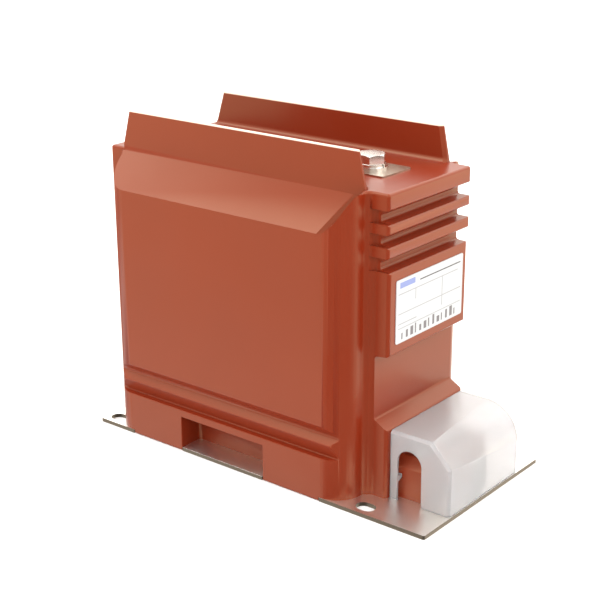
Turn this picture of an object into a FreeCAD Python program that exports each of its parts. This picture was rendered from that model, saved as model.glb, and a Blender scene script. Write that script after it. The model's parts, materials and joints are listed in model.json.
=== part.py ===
import FreeCAD, Part
import math
import os
import types

import Sketcher

# Cast resin current transformer for an indoor switchgear panel.
# Millimetres. +X runs along the length towards the secondary terminals, +Z is up.
# The origin is the middle of the base plate's underside.

# Driving dimensions
SIZES = {
    # base plate
    "plate_front_margin": 0.45,
    "plate_back_margin": 0.95,
    "plate_side_margin": 0.2,
    "plate_thickness": 3.0,
    "plate_corner": 1.5,
    "slot_width": 11.0,
    "slot_length": 15.0,
    "slot_spacing_x": 240.0,
    "slot_back_margin": 11.15,
    "slot_side_margin": 9.5,
    # resin casting: main block
    "body_middle_x": -25.7,
    "body_width": 147.6,
    "wide_length": 222.4,
    "corner_radius": 19.5,
    "corner_flat": 0.3,
    "deck_height": 221.0,
    "deck_edge": 2.0,
    # resin casting: end blocks
    "front_end_length": 17.2,
    "shed_cove": 4.8,
    "front_corner": 2.5,
    "back_end_length": 14.9,
    "back_end_drop": 2.7,
    "back_cove": 4.0,
    "back_corner": 2.0,
    # shoulders beside the deck
    "shoulder_drop": 4.0,
    "shoulder_height": 23.5,
    "shoulder_end_run": 14.0,
    "shoulder_blend": 12.0,
    # fins
    "fin_height": 25.5,
    "fin_base": 4.6,
    "fin_tip": 3.4,
    "fin_tip_round": 0.7,
    "fin_root": 4.0,
    "fin_front_inset": 1.3,
    "fin_back_overhang": 0.6,
    "far_fin_back_inset": 4.3,
    "fin_front_rake": 5.4,
    "fin_back_rake": 7.1,
    "fin_end_bevel": 2.4,
    # sheds and label pad on the front end
    "shed_depth": 8.5,
    "pad_side_step": 1.8,
    "gap_side_depth": 3.3,
    "step_start": 2.0,
    "step_cove": 5.0,
    "shed_corner": 2.2,
    "shed_taper": 3.2,
    "shed_root": 2.2,
    "shed_edge": 1.0,
    "lip_height": 11.4,
    "gap_one_height": 9.7,
    "shed_one_height": 6.7,
    "gap_two_height": 8.7,
    "shed_two_height": 7.4,
    "gap_three_height": 10.2,
    "label_pad_height": 58.9,
    "ledge_top": 60.5,
    "ledge_nose": 54.8,
    "ledge_depth": 10.9,
    "back_shed_width": 80.0,
    # wave of two grooves along each side
    "groove_depth": 4.7,
    "groove_top": 56.2,
    "groove_crest": 45.2,
    "groove_bottom": 34.9,
    "groove_round": 1.8,
    "groove_crest_inset": 0.7,
    # recess at the foot of each side
    "recess_length": 79.0,
    "recess_shift": 0.3,
    "recess_height": 24.5,
    "recess_depth": 20.0,
    "recess_corner": 3.0,
    # keys under the casting that locate the plate
    "key_length": 180.0,
    "key_width": 4.0,
    "key_lift": 0.4,
    "key_clearance": 0.25,
    # terminal block under the cover
    "block_front_space": 22.3,
    "block_width": 76.0,
    "block_side_height": 26.0,
    "block_top_height": 33.0,
    "block_edge_slope": 7.0,
    "barrier_height": 7.0,
    "barrier_thickness": 2.0,
    # primary terminals
    "terminal_pitch": 150.0,
    "terminal_shift": 3.1,
    "terminal_length": 45.0,
    "terminal_width": 34.0,
    "terminal_depth": 24.0,
    "terminal_proud": 1.0,
    "terminal_corner": 3.0,
    "bolt_diameter": 12.0,
    "bolt_length": 25.0,
    "bolt_flats": 19.0,
    "bolt_head": 6.4,
    "bolt_hole_depth": 22.5,
    "spring_washer_outer": 21.1,
    "spring_washer_thickness": 2.0,
    "flat_washer_outer": 24.0,
    "flat_washer_thickness": 1.6,
    "washer_clearance": 0.5,
    "screw_end_clearance": 1.0,
    # primary conductor
    "bar_width": 30.0,
    "bar_thickness": 10.0,
    "bar_bend": 12.0,
    # cores and their windings
    "core_height": 92.0,
    "core_outer": 118.0,
    "core_bore": 70.0,
    "core_round": 1.5,
    "winding_thickness": 4.0,
    "protection_core_length": 46.0,
    "measuring_core_length": 32.0,
    "core_gap": 8.0,
    # secondary terminals
    "terminal_row_inset": 13.0,
    "terminal_row_pitch": 16.0,
    "insert_flats": 9.0,
    "insert_length": 17.0,
    "secondary_screw_diameter": 5.0,
    "secondary_screw_length": 12.0,
    "secondary_head_diameter": 8.5,
    "secondary_head_height": 3.3,
    "secondary_head_slot": 1.2,
    "secondary_washer_outer": 10.0,
    "secondary_washer_thickness": 1.0,
    "secondary_spring_outer": 8.1,
    "secondary_spring_thickness": 1.2,
    "lead_diameter": 2.4,
    "lead_bend": 5.0,
    "lead_level": 9.0,
    "lead_clearance": 0.15,
    # earth bracket behind the front of the cover
    "earth_width": 17.0,
    "earth_middle_y": -3.0,
    "earth_height": 31.0,
    "earth_foot": 15.0,
    "earth_thickness": 2.0,
    "earth_gap": 1.0,
    "earth_bend": 2.5,
    "earth_screw_diameter": 5.0,
    "earth_screw_margin": 1.5,
    # fixing of the base plate
    "base_screw_spacing_x": 180.0,
    "base_screw_spacing_y": 92.0,
    "base_screw_diameter": 6.0,
    "base_screw_length": 16.0,
    "base_screw_head": 11.0,
    "base_insert_flats": 11.0,
    "base_insert_length": 20.0,
    # rating plate
    "rating_side_margin": 6.9,
    "rating_height": 45.0,
    "rating_thickness": 0.6,
    "rating_corner": 1.5,
    "rating_foot_margin": 7.2,
    "rating_middle_y": 0.8,
    # secondary terminal cover
    "cover_gap": 0.6,
    "cover_length": 49.0,
    "cover_near": 43.6,
    "cover_far": 46.0,
    "cover_top": 54.2,
    "cover_wall": 2.0,
    "cover_slope_foot": 37.8,
    "cover_slope_run": 16.0,
    "cover_round": 26.0,
    "cover_near_bevel": 2.0,
    "cover_far_bevel": 2.0,
    "cable_slot_width": 20.0,
    "cable_slot_height": 42.5,
    "cable_slot_inset": 33.1,
    # snap noses inside the cover
    "snap_inset": 1.3,
    "snap_width": 5.0,
    "snap_bottom": 17.0,
    "snap_height": 4.0,
    "snap_ramp": 2.0,
    "snap_catch": 1.2,
    "fit_clearance": 0.2,
}

X_AXIS = FreeCAD.Vector(1, 0, 0)
Y_AXIS = FreeCAD.Vector(0, 1, 0)
Z_AXIS = FreeCAD.Vector(0, 0, 1)
OVERCUT = 2.0
NEAR = 0.01
HEX_SIDES = 6
SPLIT_ANGLE = 20.0
CROWN_RUN = math.tan(math.radians(60))


class Size:
    """A length that carries its value and the formula that gives it."""

    def __init__(self, value, formula):
        self.value = float(value)
        self.formula = formula

    def __add__(self, other):
        other = as_size(other)
        return Size(self.value + other.value, f"({self.formula} + {other.formula})")

    def __sub__(self, other):
        other = as_size(other)
        return Size(self.value - other.value, f"({self.formula} - {other.formula})")

    def __mul__(self, other):
        other = as_size(other)
        return Size(self.value * other.value, f"({self.formula} * {other.formula})")

    def __truediv__(self, other):
        other = as_size(other)
        return Size(self.value / other.value, f"({self.formula} / {other.formula})")

    def __neg__(self):
        return Size(-self.value, f"(0 - {self.formula})")

    def root(self):
        return Size(math.sqrt(self.value), f"sqrt({self.formula})")

    def __radd__(self, other):
        return as_size(other) + self

    def __rsub__(self, other):
        return as_size(other) - self

    def __rmul__(self, other):
        return as_size(other) * self


def as_size(number):
    """A Size as it is, or a plain number as a Size."""
    if isinstance(number, Size):
        return number
    return Size(number, repr(float(number)))


# The document and its sheet of sizes
doc = FreeCAD.newDocument("current_transformer")
sheet = doc.addObject("Spreadsheet::Sheet", "sizes")
for row, (alias, number) in enumerate(SIZES.items(), start=1):
    sheet.set(f"A{row}", str(number))
    sheet.setAlias(f"A{row}", alias)
doc.recompute()
size = types.SimpleNamespace(**{name: Size(number, f"sizes.{name}") for name, number in SIZES.items()})
ZERO = as_size(0)
parts = []


def bind(item, prop, length):
    """Ties a property of an object to a formula of sheet cells."""
    item.setExpression(prop, as_size(length).formula)


def keep(item, label):
    """Names a finished sub-part and puts it on the list of pieces."""
    item.Label = label
    parts.append(item)
    return item


# Sketch helpers
def origin_plane(body, role):
    return next(plane for plane in body.Origin.OriginFeatures if plane.Role == role)


def new_sketch(body, role, name, lift=ZERO):
    """A sketch on one of the body's origin planes, moved along the plane's normal."""
    sketch = body.newObject("Sketcher::SketchObject", name)
    sketch.AttachmentSupport = [(origin_plane(body, role), "")]
    sketch.MapMode = "FlatFace"
    sketch.AttachmentOffset = FreeCAD.Placement(Z_AXIS * lift.value, FreeCAD.Rotation())
    bind(sketch, "AttachmentOffset.Base.z", lift)
    return sketch


def pin_point(sketch, geometry, place, corner):
    """Holds one point of a sketch at two named distances from the sketch's origin."""
    for kind, length in (("DistanceX", corner[0]), ("DistanceY", corner[1])):
        index = sketch.addConstraint(Sketcher.Constraint(kind, -1, 1, geometry, place, length.value))
        sketch.setExpression(f"Constraints[{index}]", length.formula)


def set_radius(sketch, geometry, radius):
    index = sketch.addConstraint(Sketcher.Constraint("Radius", geometry, radius.value))
    sketch.setExpression(f"Constraints[{index}]", radius.formula)


def round_corner(before, corner, after, radius):
    """The two ends and the centre of the arc that rounds a corner."""
    back = (before - corner).normalize()
    ahead = (after - corner).normalize()
    half_angle = back.getAngle(ahead) / 2
    reach = radius / math.tan(half_angle)
    middle = (back + ahead).normalize()
    return corner + back * reach, corner + ahead * reach, corner + middle * (radius / math.sin(half_angle))


def draw_lines(sketch, corners, closed=True):
    """Draws lines through corners; a corner is (x, y) or (x, y, radius of its rounding)."""
    corners = [tuple(as_size(value) for value in corner) for corner in corners]
    count = len(corners)
    points = [FreeCAD.Vector(corner[0].value, corner[1].value, 0) for corner in corners]
    entries = list(points)
    exits = list(points)
    arcs = {}
    for i, corner in enumerate(corners):
        if len(corner) == 2:
            continue
        entries[i], exits[i], centre = round_corner(
            points[i - 1], points[i], points[(i + 1) % count], corner[2].value)
        left_turn = (points[i] - points[i - 1]).cross(points[(i + 1) % count] - points[i]).z > 0
        first, last = (entries[i], exits[i]) if left_turn else (exits[i], entries[i])
        start = math.atan2(first.y - centre.y, first.x - centre.x)
        end = math.atan2(last.y - centre.y, last.x - centre.x)
        if end < start:
            end += 2 * math.pi
        circle = Part.Circle(centre, Z_AXIS, corner[2].value)
        arcs[i] = (sketch.addGeometry(Part.ArcOfCircle(circle, start, end)), left_turn)
    sides = count if closed else count - 1
    lines = [sketch.addGeometry(Part.LineSegment(exits[i], entries[(i + 1) % count])) for i in range(sides)]
    for i, corner in enumerate(corners):
        if not closed and i in (0, count - 1):
            pin_point(sketch, lines[0] if i == 0 else lines[-1], 1 if i == 0 else 2, corner)
            continue
        if i not in arcs:
            sketch.addConstraint(Sketcher.Constraint("Coincident", lines[i - 1], 2, lines[i], 1))
            pin_point(sketch, lines[i], 1, corner)
            continue
        arc, left_turn = arcs[i]
        sketch.addConstraint(Sketcher.Constraint("Tangent", lines[i - 1], 2, arc, 1 if left_turn else 2))
        sketch.addConstraint(Sketcher.Constraint("Tangent", lines[i], 1, arc, 2 if left_turn else 1))
        set_radius(sketch, arc, corner[2])
        vertex = sketch.addGeometry(Part.Point(points[i]), True)
        sketch.addConstraint(Sketcher.Constraint("PointOnObject", vertex, 1, lines[i - 1]))
        sketch.addConstraint(Sketcher.Constraint("PointOnObject", vertex, 1, lines[i]))
        pin_point(sketch, vertex, 1, corner)


def draw_box(sketch, low, high, radius=None):
    """Draws a rectangle between two corners, with rounded corners if a radius is given."""
    rounding = () if radius is None else (radius,)
    draw_lines(sketch, [
        (low[0], low[1], *rounding),
        (high[0], low[1], *rounding),
        (high[0], high[1], *rounding),
        (low[0], high[1], *rounding),
    ])


def draw_circle(sketch, centre, radius):
    circle = Part.Circle(FreeCAD.Vector(centre[0].value, centre[1].value, 0), Z_AXIS, radius.value)
    index = sketch.addGeometry(circle)
    pin_point(sketch, index, 3, centre)
    set_radius(sketch, index, radius)


def draw_slot(sketch, centre, length, width):
    """Draws a round-ended slot along the sketch's X axis."""
    radius = width / 2
    reach = length / 2 - radius
    left = (centre[0] - reach, centre[1])
    right = (centre[0] + reach, centre[1])
    quarter = math.pi / 2
    ends = []
    for place, start in ((left, quarter), (right, -quarter)):
        circle = Part.Circle(FreeCAD.Vector(place[0].value, place[1].value, 0), Z_AXIS, radius.value)
        ends.append(sketch.addGeometry(Part.ArcOfCircle(circle, start, start + math.pi)))
        pin_point(sketch, ends[-1], 3, place)
        set_radius(sketch, ends[-1], radius)
    for arc_a, end_a, arc_b, end_b in ((0, 2, 1, 1), (1, 2, 0, 1)):
        first = FreeCAD.Vector(sketch.getPoint(ends[arc_a], end_a))
        last = FreeCAD.Vector(sketch.getPoint(ends[arc_b], end_b))
        line = sketch.addGeometry(Part.LineSegment(first, last))
        sketch.addConstraint(Sketcher.Constraint("Tangent", ends[arc_a], end_a, line, 1))
        sketch.addConstraint(Sketcher.Constraint("Tangent", line, 2, ends[arc_b], end_b))


# Feature helpers
def new_body(name):
    return doc.addObject("PartDesign::Body", name)


def add_pad(body, sketch, length, symmetric=False, backwards=False):
    pad = body.newObject("PartDesign::Pad", sketch.Name + "_pad")
    pad.Profile = (sketch, [""])
    pad.SideType = "Symmetric" if symmetric else "One side"
    pad.Reversed = backwards
    bind(pad, "Length", length)
    doc.recompute()
    return pad


def add_pocket(body, sketch, length=None, symmetric=False, backwards=False):
    """Cuts a sketch out of the body, all the way through where no length is given."""
    before = body.Shape.Volume
    pocket = body.newObject("PartDesign::Pocket", sketch.Name + "_pocket")
    pocket.Profile = (sketch, [""])
    pocket.SideType = "Symmetric" if symmetric else "One side"
    pocket.Reversed = backwards
    if length is None:
        pocket.Type = "ThroughAll"
    else:
        bind(pocket, "Length", length)
    doc.recompute()
    if body.Shape.Volume >= before:
        raise RuntimeError(f"{pocket.Name} cuts nothing")
    return pocket


def dress_edges(body, kind, prop, length, chosen):
    """Fillets or chamfers the edges of the body's tip that pass a test."""
    base = body.Tip
    names = [f"Edge{i}" for i, edge in enumerate(base.Shape.Edges, start=1) if chosen(edge)]
    feature = body.newObject(f"PartDesign::{kind}", f"{body.Name}_{kind.lower()}")
    feature.Base = (base, names)
    bind(feature, prop, length)
    doc.recompute()
    return feature


def cylinder(name, radius, height, x=ZERO, y=ZERO, z=ZERO):
    item = doc.addObject("Part::Cylinder", name)
    bind(item, "Radius", radius)
    bind(item, "Height", height)
    place(item, x, y, z)
    return item


def hexagon(name, flats, height, x=ZERO, y=ZERO, z=ZERO):
    """A six-sided prism of a given width across its flats."""
    item = doc.addObject("Part::Prism", name)
    item.Polygon = HEX_SIDES
    bind(item, "Circumradius", flats / (2 * math.cos(math.pi / HEX_SIDES)))
    bind(item, "Height", height)
    place(item, x, y, z)
    return item


def place(item, x, y, z):
    for axis, length in (("x", x), ("y", y), ("z", z)):
        bind(item, f"Placement.Base.{axis}", length)


def cut(name, base, tool):
    item = doc.addObject("Part::Cut", name)
    item.Base = base
    item.Tool = tool
    return item


def join(name, items):
    item = doc.addObject("Part::MultiFuse", name)
    item.Shapes = items
    return item


# Places that several pieces share
wide_front = size.body_middle_x + size.wide_length / 2
wide_back = size.body_middle_x - size.wide_length / 2
half_body = size.body_width / 2
corner_inset = size.corner_radius + size.corner_flat
half_shed = half_body - corner_inset - size.shed_cove
half_front = half_shed - size.pad_side_step
half_root = half_shed - size.gap_side_depth
half_back = half_body - corner_inset - size.back_cove
end_front = wide_front + size.front_end_length
end_back = wide_back - size.back_end_length
fin_face = half_back
fin_front = wide_front - size.fin_front_inset
fin_back = wide_back - size.fin_back_overhang
fin_top = size.deck_height + size.fin_height
back_end_top = size.deck_height - size.back_end_drop
shoulder_top = size.deck_height - size.shoulder_drop
shoulder_bottom = shoulder_top - size.shoulder_height
lip_bottom = size.deck_height - size.lip_height
shed_one_top = lip_bottom - size.gap_one_height
shed_one_bottom = shed_one_top - size.shed_one_height
shed_two_top = shed_one_bottom - size.gap_two_height
shed_two_bottom = shed_two_top - size.shed_two_height
label_pad_top = shed_two_bottom - size.gap_three_height
label_pad_bottom = label_pad_top - size.label_pad_height
shed_gaps = [
    (lip_bottom, shed_one_top),
    (shed_one_bottom, shed_two_top),
    (shed_two_bottom, label_pad_top),
]
cover_back = end_front + size.cover_gap
cover_front = cover_back + size.cover_length
snap_start = cover_back + size.snap_inset
block_front = cover_front - size.block_front_space
terminal_row = block_front - size.terminal_row_inset
half_plate = half_body + size.plate_side_margin
plate_back = end_back - size.plate_back_margin
plate_front = cover_front + size.plate_front_margin
plate_top = size.plate_thickness
terminal_top = size.deck_height + size.terminal_proud
terminal_bottom = terminal_top - size.terminal_depth
block_top = size.block_top_height
recess_middle = size.body_middle_x - size.recess_shift
recess_low_x = recess_middle - size.recess_length / 2
recess_high_x = recess_middle + size.recess_length / 2
key_back = size.body_middle_x - size.key_length / 2
key_front = size.body_middle_x + size.key_length / 2
primary_middle = size.body_middle_x + size.terminal_shift
primary_places = {
    "p1": primary_middle - size.terminal_pitch / 2,
    "p2": primary_middle + size.terminal_pitch / 2,
}
secondary_rows = [size.terminal_row_pitch * (number - 1.5) for number in range(4)]
base_screw_places = [
    (size.body_middle_x + size.base_screw_spacing_x * side_x / 2, size.base_screw_spacing_y * side_y / 2)
    for side_x in (-1, 1) for side_y in (-1, 1)
]


# Resin casting: the wide block with rounded corners, and the narrow front end
def main_block(body):
    sketch = new_sketch(body, "XY_Plane", "plan", plate_top)
    draw_lines(sketch, [
        (wide_back, -half_body, size.corner_radius),
        (wide_front, -half_body, size.corner_radius),
        (wide_front, -half_shed, size.shed_cove),
        (end_front, -half_shed, size.shed_corner),
        (end_front, half_shed, size.shed_corner),
        (wide_front, half_shed, size.shed_cove),
        (wide_front, half_body, size.corner_radius),
        (wide_back, half_body, size.corner_radius),
    ])
    add_pad(body, sketch, size.deck_height - plate_top)
    round_top(body, size.deck_height)


def round_top(body, height):
    """Rounds every edge that lies at one height."""
    def at_height(edge):
        return all(abs(vertex.Z - height.value) < NEAR for vertex in edge.Vertexes)
    dress_edges(body, "Fillet", "Radius", size.deck_edge, at_height)


def front_steps(body):
    """The front end is narrower at the label pad than at the sheds, and narrowest between the sheds."""
    start = wide_front + size.step_start
    outer = half_body - corner_inset
    beyond = end_front + OVERCUT
    inside = half_front - size.front_corner - size.corner_flat
    pad = new_sketch(body, "XY_Plane", "pad_sides", plate_top)
    for side in (-1, 1):
        draw_lines(pad, [
            (start, outer * side),
            (start, half_front * side, size.step_cove),
            (end_front, half_front * side, size.front_corner),
            (end_front, inside * side),
            (beyond, inside * side),
            (beyond, outer * side),
        ])
    add_pocket(body, pad, label_pad_top - plate_top, backwards=True)
    for number, (upper, lower) in enumerate(shed_gaps, start=1):
        gap = new_sketch(body, "XY_Plane", f"gap_sides_{number}", lower)
        for side in (-1, 1):
            draw_lines(gap, [
                (start, outer * side),
                (start, half_root * side, size.step_cove),
                (beyond, half_root * side),
                (beyond, outer * side),
            ])
        add_pocket(body, gap, upper - lower, backwards=True)


def back_coves(body):
    """Hollow corners where the back end meets the wide block."""
    sketch = new_sketch(body, "XY_Plane", "back_coves", plate_top)
    outer = half_back + size.back_cove + size.corner_flat / 2
    reach = wide_back - size.back_cove - size.corner_flat
    inside = wide_back + OVERCUT
    draw_lines(sketch, [
        (inside, -outer), (inside, outer), (wide_back, outer),
        (wide_back, half_back, size.back_cove),
        (reach, half_back), (reach, -half_back),
        (wide_back, -half_back, size.back_cove),
        (wide_back, -outer),
    ])
    add_pad(body, sketch, back_end_top - size.deck_edge - plate_top)


def back_end():
    """The back end block: a little lower than the deck and flush with the fins."""
    body = new_body("back_end")
    sketch = new_sketch(body, "XY_Plane", "back_plan", plate_top)
    inside = wide_back + OVERCUT * 2
    draw_lines(sketch, [
        (inside, -half_back), (inside, half_back),
        (end_back, half_back, size.back_corner),
        (end_back, -half_back, size.back_corner),
    ])
    add_pad(body, sketch, back_end_top - plate_top)
    round_top(body, back_end_top)
    back_sheds(body)
    return body


# Resin casting: sheds, label pad and ledge
def draw_recess(sketch, upper, lower, face, toward, depth=None, upper_taper=None, lower_taper=None):
    """A tapered recess with a bevelled mouth; toward is +1 on the front end and -1 on the back."""
    upper_taper = size.shed_taper if upper_taper is None else upper_taper
    lower_taper = size.shed_edge if lower_taper is None else lower_taper
    root = face - (size.shed_depth if depth is None else depth) * toward
    lip = face - size.shed_edge * toward
    mouth = face + OVERCUT * toward
    flare = size.shed_edge + OVERCUT
    draw_lines(sketch, [
        (mouth, upper + flare),
        (lip, upper),
        (root, upper - upper_taper, size.shed_root),
        (root, lower + lower_taper, size.shed_root),
        (lip, lower),
        (mouth, lower - flare),
    ])


def front_sheds(body):
    """Sheds, label pad and ledge: recesses right across the front end."""
    sketch = new_sketch(body, "XZ_Plane", "front_recesses")
    for upper, lower in shed_gaps:
        draw_recess(sketch, upper, lower, end_front, 1)
    draw_recess(sketch, label_pad_bottom, size.ledge_nose, end_front, 1, depth=size.ledge_depth,
                upper_taper=size.shed_edge, lower_taper=size.ledge_top - size.ledge_nose)
    add_pocket(body, sketch, symmetric=True)


def back_sheds(body):
    """The same recesses at the back end, which stop short of its sides."""
    sketch = new_sketch(body, "XZ_Plane", "back_recesses")
    for upper, lower in shed_gaps:
        draw_recess(sketch, upper, lower, end_back, -1)
    add_pocket(body, sketch, size.back_shed_width, symmetric=True)


def side_grooves(body):
    """A wave along each side: a groove that slopes out to a crest, then one that slopes back in."""
    sketch = new_sketch(body, "YZ_Plane", "grooves")
    rise = size.groove_depth / 4
    for side in (-1, 1):
        face = half_body * side
        outside = face + OVERCUT * side
        root = face - size.groove_depth * side
        crest = face - size.groove_crest_inset * side
        draw_lines(sketch, [
            (outside, size.groove_top),
            (root, size.groove_top - rise, size.groove_round),
            (root, size.groove_top - size.groove_depth, size.groove_round),
            (crest, size.groove_crest, size.groove_round / 2),
            (root, size.groove_bottom + size.groove_depth, size.groove_round),
            (root, size.groove_bottom + rise, size.groove_round / 2),
            (outside, size.groove_bottom),
        ])
    add_pocket(body, sketch, symmetric=True)


def foot_recesses(body):
    """The two recesses at the foot of the long sides."""
    sketch = new_sketch(body, "XY_Plane", "foot_recess", plate_top)
    for side in (-1, 1):
        inner = (half_body - size.recess_depth) * side
        outer = (half_body + OVERCUT) * side
        draw_lines(sketch, [
            (recess_low_x, outer),
            (recess_low_x, inner, size.recess_corner),
            (recess_high_x, inner, size.recess_corner),
            (recess_high_x, outer),
        ])
    add_pocket(body, sketch, size.recess_height, backwards=True)


def fins(body):
    """Two upright barriers beside the busbar, thinner at the tip and raked at both ends."""
    sink = size.fin_root
    over = fin_top + OVERCUT
    for name, side, back in (("near", -1, fin_back), ("far", 1, fin_back + size.far_fin_back_inset)):
        sketch = new_sketch(body, "YZ_Plane", f"{name}_fin_section", back)
        draw_lines(sketch, [
            (fin_face * side, size.deck_height - sink),
            (fin_face * side, fin_top),
            ((fin_face - size.fin_tip) * side, fin_top),
            ((fin_face - size.fin_base) * side, size.deck_height, size.fin_root),
            ((fin_face - size.fin_base - size.fin_root * 2) * side, size.deck_height),
            ((fin_face - size.fin_base - size.fin_root * 2) * side, size.deck_height - sink),
        ])
        add_pad(body, sketch, fin_front - back)
        rake = new_sketch(body, "XZ_Plane", f"{name}_fin_rake")
        for end, toward, run in (
            (fin_front, 1, size.fin_front_rake),
            (back, -1, size.fin_back_rake),
        ):
            draw_lines(rake, [
                (end + OVERCUT * toward, size.deck_height),
                (end, size.deck_height),
                (end - run * (over - size.deck_height) / size.fin_height * toward, over),
                (end + OVERCUT * toward, over),
            ])
        add_pocket(body, rake, backwards=side < 0)


def dress_fins(body):
    """Bevels the inner edge of each fin end, then rounds the tips."""
    def inner_end_edge(edge):
        if len(edge.Vertexes) != 2:
            return False
        low, high = sorted((vertex.Point for vertex in edge.Vertexes), key=lambda point: point.z)
        climbs = high.z - low.z > size.fin_height.value / 2
        inside = abs(low.y) < fin_face.value - size.fin_tip.value / 2
        return climbs and low.z > size.deck_height.value and inside

    def tip_edge(edge):
        at_tip = all(abs(vertex.Z - fin_top.value) < NEAR for vertex in edge.Vertexes)
        return at_tip and edge.Length > size.fin_height.value
    dress_edges(body, "Chamfer", "Size", size.fin_end_bevel, inner_end_edge)
    dress_edges(body, "Fillet", "Radius", size.fin_tip_round, tip_edge)


def plate_keys(body):
    """Low keys under both long edges, which fill the notches of the plate."""
    sketch = new_sketch(body, "XY_Plane", "keys", plate_top)
    for side in (-1, 1):
        inner = (half_body - size.key_width) * side
        outer = half_body * side
        for low, high in ((key_back, recess_low_x), (recess_high_x, key_front)):
            draw_box(sketch, (low, inner), (high, outer))
    add_pad(body, sketch, plate_top - size.key_lift, backwards=True)


def terminal_block(body):
    """The block for the secondary terminals, with sloping edges and a rib between terminals."""
    sketch = new_sketch(body, "YZ_Plane", "block_section", end_front - size.shed_edge)
    half = size.block_width / 2
    half_top = half - size.block_edge_slope
    rib = size.barrier_thickness / 2
    rib_top = block_top + size.barrier_height
    corners = [(-half, plate_top), (-half, size.block_side_height), (-half_top, block_top)]
    for number in (-1, 0, 1):
        middle = size.terminal_row_pitch * number
        corners += [
            (middle - rib, block_top),
            (middle - rib, rib_top),
            (middle + rib, rib_top),
            (middle + rib, block_top),
        ]
    corners += [(half_top, block_top), (half, size.block_side_height), (half, plate_top)]
    draw_lines(sketch, corners)
    add_pad(body, sketch, block_front - end_front + size.shed_edge)


def snap_pockets(body):
    """Pockets in both sides of the terminal block for the noses of the cover."""
    sketch = new_sketch(body, "YZ_Plane", "snap_pockets", snap_start - size.fit_clearance)
    inner = size.block_width / 2 - size.snap_catch - size.fit_clearance
    outer = size.block_width / 2 + OVERCUT
    low = size.snap_bottom - size.fit_clearance
    high = size.snap_bottom + size.snap_height + size.fit_clearance
    for side in (-1, 1):
        draw_box(sketch, (inner * side, low), (outer * side, high))
    add_pocket(body, sketch, size.snap_width + size.fit_clearance * 2, backwards=True)


def shoulder_relief(side):
    """What the mould leaves out beside one fin: a long slope, open at the back and blended out in front."""
    name = "near" if side < 0 else "far"
    body = new_body(f"shoulder_relief_{name}")
    slope = (shoulder_top - shoulder_bottom) / (half_body - fin_face)
    over = fin_top + OVERCUT
    outside = (half_body + OVERCUT) * side
    start = wide_back - size.back_cove - OVERCUT
    section = new_sketch(body, "YZ_Plane", f"shoulder_section_{name}", start)
    draw_lines(section, [
        (outside, shoulder_bottom - slope * OVERCUT),
        (fin_face * side, shoulder_top),
        (fin_face * side, over),
        (outside, over),
    ])
    add_pad(body, section, wide_front - start)
    end = new_sketch(body, "XZ_Plane", f"shoulder_end_{name}")
    below = shoulder_bottom - size.shoulder_end_run * 2
    above = over + OVERCUT
    steep = (size.deck_height - shoulder_bottom) / size.shoulder_end_run
    foot = wide_front - size.shoulder_end_run
    beyond = wide_front + size.shoulder_end_run * 2
    draw_lines(end, [
        (foot - (shoulder_bottom - below) / steep, below),
        (foot + (above - shoulder_bottom) / steep, above),
        (beyond, above),
        (beyond, below),
    ])
    add_pocket(body, end, symmetric=True)

    def valley(edge):
        if len(edge.Vertexes) != 2:
            return False
        run = edge.Vertexes[1].Point - edge.Vertexes[0].Point
        return min(abs(run.x), abs(run.y), abs(run.z)) > NEAR
    dress_edges(body, "Fillet", "Radius", size.shoulder_blend, valley)
    return body


def resin_blank():
    """The casting before room is made for the metal pieces that it holds."""
    body = new_body("casting")
    main_block(body)
    back_coves(body)
    front_steps(body)
    front_sheds(body)
    side_grooves(body)
    foot_recesses(body)
    fins(body)
    dress_fins(body)
    plate_keys(body)
    terminal_block(body)
    snap_pockets(body)
    return body


# Base plate: a thin sheet with slots at the corners and notches for the keys
def base_plate():
    body = new_body("plate")
    notch = half_body - size.key_width - size.key_clearance
    low = key_back - size.key_clearance
    high = key_front + size.key_clearance
    inner_low = recess_low_x + size.key_clearance
    inner_high = recess_high_x - size.key_clearance
    sketch = new_sketch(body, "XY_Plane", "plate_outline")
    near = [
        (plate_back, -half_plate, size.plate_corner),
        (low, -half_plate), (low, -notch), (inner_low, -notch), (inner_low, -half_plate),
        (inner_high, -half_plate), (inner_high, -notch), (high, -notch), (high, -half_plate),
        (plate_front, -half_plate, size.plate_corner),
    ]
    far = [(corner[0], -corner[1], *corner[2:]) for corner in reversed(near)]
    draw_lines(sketch, near + far)
    add_pad(body, sketch, size.plate_thickness)
    slots = new_sketch(body, "XY_Plane", "plate_slots")
    first_slot = plate_back + size.slot_back_margin
    for slot_x in (first_slot, first_slot + size.slot_spacing_x):
        for side in (-1, 1):
            centre = (slot_x, (half_plate - size.slot_side_margin) * side)
            draw_slot(slots, centre, size.slot_length, size.slot_width)
    add_pocket(body, slots, backwards=True)
    return body


def countersunk_screw(name, x, y, allowance=ZERO):
    """A countersunk screw that points up, with its head flush under the plate."""
    radius = size.base_screw_diameter / 2
    head = doc.addObject("Part::Cone", f"{name}_head")
    bind(head, "Radius1", size.base_screw_head / 2)
    bind(head, "Radius2", radius)
    bind(head, "Height", size.base_screw_head / 2 - radius)
    place(head, x, y, ZERO)
    shank = cylinder(f"{name}_shank", radius + allowance, size.base_screw_length, x, y)
    return join(name, [head, shank])


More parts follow.
